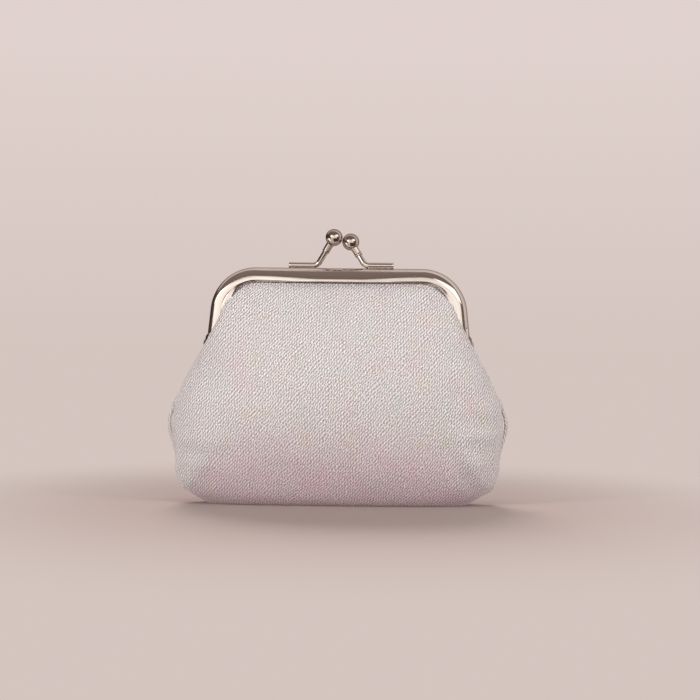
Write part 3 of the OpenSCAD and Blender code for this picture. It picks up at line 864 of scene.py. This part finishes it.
# A panel as a grid, set back by inset: rows run down from the hem to the middle of the base, columns across.
# Each row is a flattened oval whose two ends fold back, round the legs' lip or, below them, into the side seam
def panelGrid(inset, hemDepth, rear):
    z = (lipTop - 0.25) * (1 - np.linspace(0, 1, bag["wallRows"]) ** 1.12)
    z = np.concatenate([[cornerZ + hemE - 0.5 * inset, cornerZ + lipE + 0.55], z])
    base = np.linspace(1, 0, bag["baseRows"] + 1)[1:]
    zAll = np.concatenate([z, np.zeros(len(base))])
    shrink = np.concatenate([np.ones(len(z)), base])
    framed = ease(46.5, 56.0, zAll)  # 1 along the legs, 0 where the side seam holds the panel
    lipX = legX(lipE, np.minimum(zAll, lipTop - 0.02))
    hemX = legX(hemE, np.minimum(zAll, cornerZ + hemE - 0.4))
    outline = bagHalf(zAll, rear) - inset
    puff = ease(bag["puffAt"] + 1.5, bag["puffAt"] - 4.0, zAll)
    half = np.where(zAll > 55, np.minimum(outline, lipX - 0.35 + 8 * puff - inset * 0.6), outline)
    nearTop = zAll > lipTop - 0.3
    half = np.where(nearTop, cornerX + 1.5, half) - 8.0 * (1 - shrink) ** 1.5
    depth = bagDepth(zAll, hemDepth) - inset * (1 - ease(lipTop - 14, lipTop, zAll))
    edgeY = hemDepth * framed * (1 + 0.55 * puff) + (1.9 + 0.2 * inset) * (1 - framed)
    edgeY = np.minimum(edgeY, depth)
    a = np.linspace(-math.pi / 2, math.pi / 2, bag["frontCols"])
    sx = np.sign(a) * np.abs(np.sin(a)) ** (2 / bag["sideSquare"])
    sy = np.abs(np.cos(a)) ** (2 / bag["frontSquare"])
    x = half[:, None] * sx
    y = (edgeY[:, None] + (depth - edgeY)[:, None] * sy) * shrink[:, None]
    # the folded ends: five points from the channel or the seam out to the oval's end
    gap = 0.04
    inLip = [
        (hemX, hemDepth), (lipX + 0.7, hemDepth + 0.02), (lipX - 0.32, hemDepth + 0.25),
        (lipX - 0.22 + (half - lipX) * 0.25 * puff, hemDepth + 0.95 * puff + 0.3),
        (half - 0.35, hemDepth + 0.5 + 1.35 * puff),
    ]
    inSeam = [
        (half - 1.25 + inset * 0.3, gap), (half - 0.95, gap + 0.16), (half - 0.55, 0.45),
        (half - 0.25, 0.85), (half - 0.06, 1.35),
    ]
    ends = []
    for (lipAt, lipIn), (seamAt, seamIn) in zip(inLip, inSeam):
        endX = np.where(nearTop, half, lipAt * framed + seamAt * (1 - framed))
        endY = np.where(nearTop, hemDepth, lipIn * framed + seamIn * (1 - framed))
        ends.append(np.stack([endX, endY * shrink + gap * (1 - shrink)], 1))
    ends = np.stack(ends, 1)
    rows = np.concatenate([ends * [-1, 1], np.stack([x, y], -1), ends[:, ::-1]], 1)
    grid = np.concatenate([rows, np.broadcast_to(zAll[:, None, None], rows.shape[:2] + (1,))], -1)
    grid[0, :, 1] = hemDepth
    grid[1, :, 1] = hemDepth + 0.05
    grid[..., 2] += (inset * ease(6.0, 0.0, zAll))[:, None]
    return grid


# Folds of the stuffed cloth, added to its depth: a ridge that climbs inwards from each lower corner, a hollow
# beside it, soft waves along the side seams and a slow unevenness of the padding
folds = {"ridge": 0.75, "hollow": 0.4, "seamWaves": 0.28, "uneven": 0.22}


def foldRelief(x, z, rear):
    sideX = np.abs(x)
    way = 0.5 if rear else 0.0
    along = np.clip((z - 5.0) / 22.0, 0, 1)
    line = 50.0 - 13.0 * along ** 0.8
    off = sideX - line
    fade = ease(30.0, 10.0, z) * ease(1.0, 5.0, z)
    relief = folds["ridge"] * np.exp(-(off / 2.6) ** 2) * fade
    relief -= folds["hollow"] * np.exp(-((off + 5.5) / 3.2) ** 2) * fade
    nearSide = ease(30.0, 50.0, sideX) * ease(56.0, 46.0, z) * ease(4.0, 14.0, z)
    relief += folds["seamWaves"] * nearSide * np.sin(z * 0.62 + 0.9 * np.sin(z * 0.17 + x * 0.05 + way))
    inner = ease(60.0, 48.0, z) * ease(2.0, 12.0, z)
    swell = np.sin(x * 0.11 + z * 0.07 + way) + np.sin(z * 0.16 - x * 0.045 + 2.0 + way)
    relief += folds["uneven"] * inner * swell
    return relief


# Evens a grid out: each inner point moves towards its neighbours' mean. Hem, ends and the base's level stay
def evened(grid, times):
    g = grid.copy()
    onFloor = grid[..., 2] <= 0.01
    for _ in range(times):
        mean = (g[2:, 1:-1] + g[:-2, 1:-1] + g[1:-1, 2:] + g[1:-1, :-2]) / 4
        g[1:-1, 1:-1] += 0.5 * (mean - g[1:-1, 1:-1])
        g[:2] = grid[:2]
        g[:, :4] = grid[:, :4]
        g[:, -4:] = grid[:, -4:]
        g[..., 2] = np.where(onFloor, grid[..., 2], g[..., 2])
    return g


# Cloth map of a grid: distance along each row from its middle, and down the middle column, per 100 mm
def clothMap(grid):
    step = np.linalg.norm(np.diff(grid, axis=1), axis=2)
    along = np.concatenate([np.zeros((len(grid), 1)), np.cumsum(step, 1)], 1)
    along -= along[:, [grid.shape[1] // 2]]
    mid = grid[:, grid.shape[1] // 2]
    down = np.concatenate([[0], np.cumsum(np.linalg.norm(np.diff(mid, axis=0), axis=1))])
    return np.stack([along, np.broadcast_to(-down[:, None], along.shape)], -1) / 100


# Heights at which a panel starts to follow the frame, and where it follows wholly beside a leg
turning = {"middleFrom": 30.0, "sideFrom": 46.5, "legEnd": 56.5}


# Share of the half's turn that each point of a panel takes: all in the channel, none at seams and belly
def followShare(grid):
    x, z = np.abs(grid[..., 0]), grid[..., 2]
    arch = cornerZ + np.sqrt(np.maximum(lipE**2 - (x - cornerX) ** 2, 0))
    lip = np.minimum(lipTop, np.where(x < cornerX, lipTop, arch))
    legEdge = legX(lipE, 60.0)
    lip = lip + (turning["legEnd"] - lip) * ease(legEdge - 6.0, legEdge, x)
    low = turning["middleFrom"] + (turning["sideFrom"] - turning["middleFrom"]) * ease(0.0, 46.0, x)
    return ease(0.0, 1.0, (z - low) / np.maximum(lip - low, 1.0))


# Layers of the bag, in millimetres: inset from the outer cloth, the hem's inset from its hem, thickness
layers = {
    "OuterCloth": {"inset": 0.0, "hemIn": 0.0, "thick": 0.45, "material": pearlTwill,
                   "slot": "outer_fabric", "node": "fabric"},
    "Padding": {"inset": 0.75, "hemIn": 0.62, "thick": 0.9, "material": paddingFleece,
                "slot": "padding", "node": "padding"},
    "Lining": {"inset": 1.9, "hemIn": 1.3, "thick": 0.25, "material": liningSatin,
               "slot": "lining", "node": "lining"},
}


def makePanel(half, side, layer):
    spec = layers[layer]
    grid = evened(panelGrid(spec["inset"], bag["hemDepth"] - spec["hemIn"], side > 0), 6)
    deep = ease(2.0, 9.0, grid[..., 1])
    grid[..., 1] += deep * foldRelief(grid[..., 0], grid[..., 2], side > 0)
    inLip = np.zeros(grid.shape[:2], bool)
    inLip[:2] = inLip[:, :3] = inLip[:, -3:] = True
    follow = np.where(inLip & (grid[..., 2] > 55.5), 1.0, followShare(grid))
    # painted shadow under the frame's lip: full where the cloth is tucked into the channel, partial on the first
    # row out
    lipShadeMask = np.where(inLip & (grid[..., 2] > 60.0), 1.0, 0.0)
    lipShadeMask[2] = 0.45
    quads = gridQuads(*grid.shape[:2])
    points = grid * [1, side, 1]
    piece = newPiece(half + layer, points, quads, spec["material"], clothMap(grid), outward=False)
    mesh = piece.data
    mesh.attributes.new("lipShadeMask", "FLOAT", "POINT")
    mesh.attributes["lipShadeMask"].data.foreach_set("value", lipShadeMask.astype(np.float32).ravel())
    normal, centre = np.zeros((2, len(mesh.polygons) * 3))
    mesh.polygons.foreach_get("normal", normal)
    mesh.polygons.foreach_get("center", centre)
    if (normal[1::3] * side * (np.abs(centre[1::3]) > 0.008)).sum() < 0:
        mesh.flip_normals()
    finishWith(piece, "SOLIDIFY", thickness=spec["thick"] * mm, offset=-1.0)
    finishWith(piece, "SUBSURF", levels=1, render_levels=1)
    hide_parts(*[half + "_" + spec["node"] + part for part in ("_mouth", "_belly")])
    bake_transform(piece, "pouch", half + "_clasp", start=(0, 0, 0.034), end=(0, 0, 0.073))
    mesh.attributes["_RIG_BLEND"].data.foreach_set("value", follow.astype(np.float32).ravel())
    return piece


for half, side in halves.items():
    outer, wadding, inner = [makePanel(half, side, layer) for layer in layers]
print("bag made")

# Camera, light and floor

studio = {
    "distance": 0.60,       # from the camera to the frame's face
    "aimX": 3.76, "aimZ": 50.65,
    "viewWidth": 228.8,     # millimetres across the picture at the frame's face
    "roll": 0.6,            # degrees
    "pale": (0.658, 0.558, 0.522, 1),     # backdrop at the level of the horizon
    "paleHigh": (0.745, 0.640, 0.612, 1),  # and above the purse
    # painted shade: near the purse the floor is darker than the backdrop it melts into further out
    "floorTintAndShade": (0.395, 0.311, 0.288, 1),
    "floorFade": (0.045, 0.26),  # metres from the purse between which the floor melts into the backdrop
}


def makeCamera():
    data = bpy.data.cameras.new("camera")
    data.sensor_width = 36.0
    data.lens = 36.0 * studio["distance"] / (studio["viewWidth"] * mm)
    camera = bpy.data.objects.new("camera", data)
    camera.location = (studio["aimX"] * mm, -studio["distance"] - faceY * mm, studio["aimZ"] * mm)
    camera.rotation_euler = (math.pi / 2, math.radians(-studio["roll"]), 0)
    data.clip_end = 20
    bpy.context.scene.collection.objects.link(camera)
    bpy.context.scene.camera = camera


lamps = {  # place, size, power, tint
    "topSoftbox": ((-0.05, -0.24, 0.90), (0.5, 0.4), 2.0, (1.0, 0.98, 0.965)),
    "leftSoftbox": ((-0.62, -0.60, 0.27), (0.16, 0.16), 4.75, (1.0, 0.985, 0.975)),
    "rightSoftbox": ((0.66, -0.52, 0.24), (0.22, 0.10), 4.1, (1.0, 0.985, 0.975)),
}
lampAim = (0, 0, 0.04)
backLight = {"height": 37.0, "turn": -9.0, "spread": 26.0, "power": 2.9, "tint": (1.0, 0.97, 0.95)}  # degrees


# Adds a lamp that the metal doesn't mirror
def addLamp(name, kind, power, tint, turn):
    data = bpy.data.lights.new(name, kind)
    data.energy = power
    data.color = tint
    lamp = bpy.data.objects.new(name, data)
    lamp.rotation_euler = turn
    lamp.visible_glossy = False
    bpy.context.scene.collection.objects.link(lamp)
    return lamp


def makeLights():
    for name, (place, size, power, tint) in lamps.items():
        dx, dy, dz = np.array(place) - np.array(lampAim)
        turn = (math.atan2(math.hypot(dx, dy), dz), 0, math.atan2(dy, dx) + math.pi / 2)
        lamp = addLamp(name, "AREA", power, tint, turn)
        lamp.location = place
        lamp.data.shape = "RECTANGLE"
        lamp.data.size, lamp.data.size_y = size
    turn = (math.radians(90 - backLight["height"]), 0, math.pi - math.radians(backLight["turn"]))
    lamp = addLamp("backLight", "SUN", backLight["power"], backLight["tint"], turn)
    lamp.data.angle = math.radians(backLight["spread"])


# Screens that only the metal mirrors. Radius in metres, the rest in degrees: lower and upper edge, each straight
# ahead and to the sides, and ends to the left and right
screens = {
    "taupe": {
        "radius": 0.50, "low": (27.0, -14.0), "high": (100.0, 84.0), "from": -110.0, "to": 80.0,
        "colours": ((0.155, 0.115, 0.098, 1), (0.22, 0.168, 0.145, 1)),
    },
    "pale": {
        "radius": 0.49, "low": (-13.0, -6.0), "high": (29.0, 10.0), "from": -38.0, "to": 38.0,
        "patches": 9.0,
        "colours": ((0.84, 0.76, 0.70, 1), (1.34, 1.25, 1.18, 1)),
    },
    "viewer": {  # a dark shape beside the camera, as the balls mirror it
        "radius": 0.47, "low": (-62.0, -62.0), "high": (-10.0, -10.0), "from": -9.0, "to": 74.0,
        "colours": ((0.075, 0.045, 0.038, 1), (0.13, 0.09, 0.075, 1)),
    },
    "darkSide": {  # beyond the left leg, for its dark outer line
        "radius": 0.465, "low": (-4.0, -4.0), "high": (26.0, 26.0), "from": -172.0, "to": -62.0,
        "colours": ((0.085, 0.062, 0.053, 1), (0.11, 0.082, 0.07, 1)),
    },
    "leftSpot": {
        "radius": 0.46, "low": (6.0, 6.0), "high": (26.0, 26.0), "from": -48.0, "to": -26.0,
        "colours": ((3.0, 2.85, 2.7, 1),) * 2,
    },
    "rightSpot": {
        "radius": 0.46, "low": (12.0, 12.0), "high": (36.0, 36.0), "from": 20.0, "to": 62.0,
        "colours": ((1.6, 1.5, 1.4, 1),) * 2,
    },
    "lowSpot": {
        "radius": 0.46, "low": (-46.0, -46.0), "high": (-9.0, -9.0), "from": -100.0, "to": -60.0,
        "colours": ((1.6, 1.5, 1.4, 1),) * 2,
    },
}


def makeScreen(name, spec):
    rows, cols = 25, 49
    turn = np.radians(np.linspace(spec["from"], spec["to"], cols))[None, :]
    aside = ease(28.0, 42.0, np.abs(np.degrees(turn)))
    low = spec["low"][0] * (1 - aside) + spec["low"][1] * aside
    high = spec["high"][0] * (1 - aside) + spec["high"][1] * aside
    rise = np.radians(low + (high - low) * np.linspace(0, 1, rows)[:, None])
    r = spec["radius"] / mm
    points = np.stack([r * np.cos(rise) * np.sin(turn), -r * np.cos(rise) * np.cos(turn),
                       topZ + r * np.sin(rise)], -1)
    material, tree, _ = newMaterial(name + "Screen")
    place = objectPlace(tree)
    if "patches" in spec:
        level = rangeOf(tree, noiseOf(tree, place, spec["patches"], 1.0), 0.36, 0.62)
    else:
        soft = noiseOf(tree, place, 4.0, 1.0)
        level = rangeOf(tree, mathOf(tree, "MULTIPLY_ADD", soft, 0.1, splitOf(tree, place)[2]), 0.36, 0.60)
    glow = glowOf(tree, mixOf(tree, level, *spec["colours"]))
    feed(tree, tree.nodes["Material Output"].inputs["Surface"], glow)
    card = newPiece(name + "Screen", points, gridQuads(rows, cols), material, outward=False)
    for kind in ("camera", "diffuse", "shadow", "transmission", "volume_scatter"):
        setattr(card, "visible_" + kind, False)


def makeWorld():
    world = bpy.data.worlds.new("studioWorld")
    bpy.context.scene.world = world
    world.use_nodes = True
    tree = world.node_tree
    background = tree.nodes["Background"]
    rays = tree.nodes.new("ShaderNodeLightPath")
    seen = mathOf(tree, "MAXIMUM", rays.outputs["Is Camera Ray"], rays.outputs["Is Glossy Ray"])
    seen = mathOf(tree, "MAXIMUM", seen, rays.outputs["Is Transmission Ray"])
    up = splitOf(tree, tree.nodes.new("ShaderNodeTexCoord").outputs["Generated"])[2]
    backdrop = mixOf(tree, rangeOf(tree, up, 0.0, 0.16), studio["pale"], studio["paleHigh"])
    feed(tree, background.inputs["Color"], mixOf(tree, seen, (1.0, 0.97, 0.95, 1), backdrop))
    feed(tree, background.inputs["Strength"], rangeOf(tree, seen, 0.0, 1.0, 0.16, 1.0))


# Floor: a wide disc that catches the shadow and melts into the background further out; near the purse its colour
# is painted darker, as shade
def makeFloor():
    turns = fullTurn(96)
    radii = np.concatenate([[1.0], np.geomspace(20, 3000, 18)])
    across, out = radii[:, None] * np.cos(turns), radii[:, None] * np.sin(turns)
    points = np.stack([across, out, np.full(across.shape, -0.02)], -1)
    faces = gridQuads(len(radii), 96, roundCols=True).tolist() + [list(range(96))]
    material, tree, shader = newMaterial("floorPaper", Roughness=0.9)
    place = objectPlace(tree)
    uneven = rangeOf(tree, noiseOf(tree, place, 3.0, 2.0), 0.3, 0.7)
    dulled = tuple(c * 0.96 for c in studio["floorTintAndShade"][:3]) + (1,)
    feed(tree, shader.inputs["Base Color"], mixOf(tree, uneven, studio["floorTintAndShade"], dulled))
    away = vectorOf(tree, "LENGTH", scaledOf(tree, place, (1.5, 1.0, 1.0)))[1]
    fade = rangeOf(tree, away, *studio["floorFade"])
    fade.node.interpolation_type = "SMOOTHSTEP"
    mix = tree.nodes.new("ShaderNodeMixShader")
    for socket, value in zip(mix.inputs, (fade, shader.outputs[0], glowOf(tree, studio["pale"]))):
        feed(tree, socket, value)
    feed(tree, tree.nodes["Material Output"].inputs["Surface"], mix.outputs[0])
    floor = newPiece("floor", points, faces, material, outward=False)
    if floor.data.polygons[0].normal.z < 0:
        floor.data.flip_normals()
    floor.visible_glossy = False  # so that the metal mirrors the screens below its level too


makeCamera()
makeLights()
for name, spec in screens.items():
    makeScreen(name, spec)
makeWorld()
makeFloor()
bpy.context.scene.view_settings.view_transform = "Standard"
print("studio made")
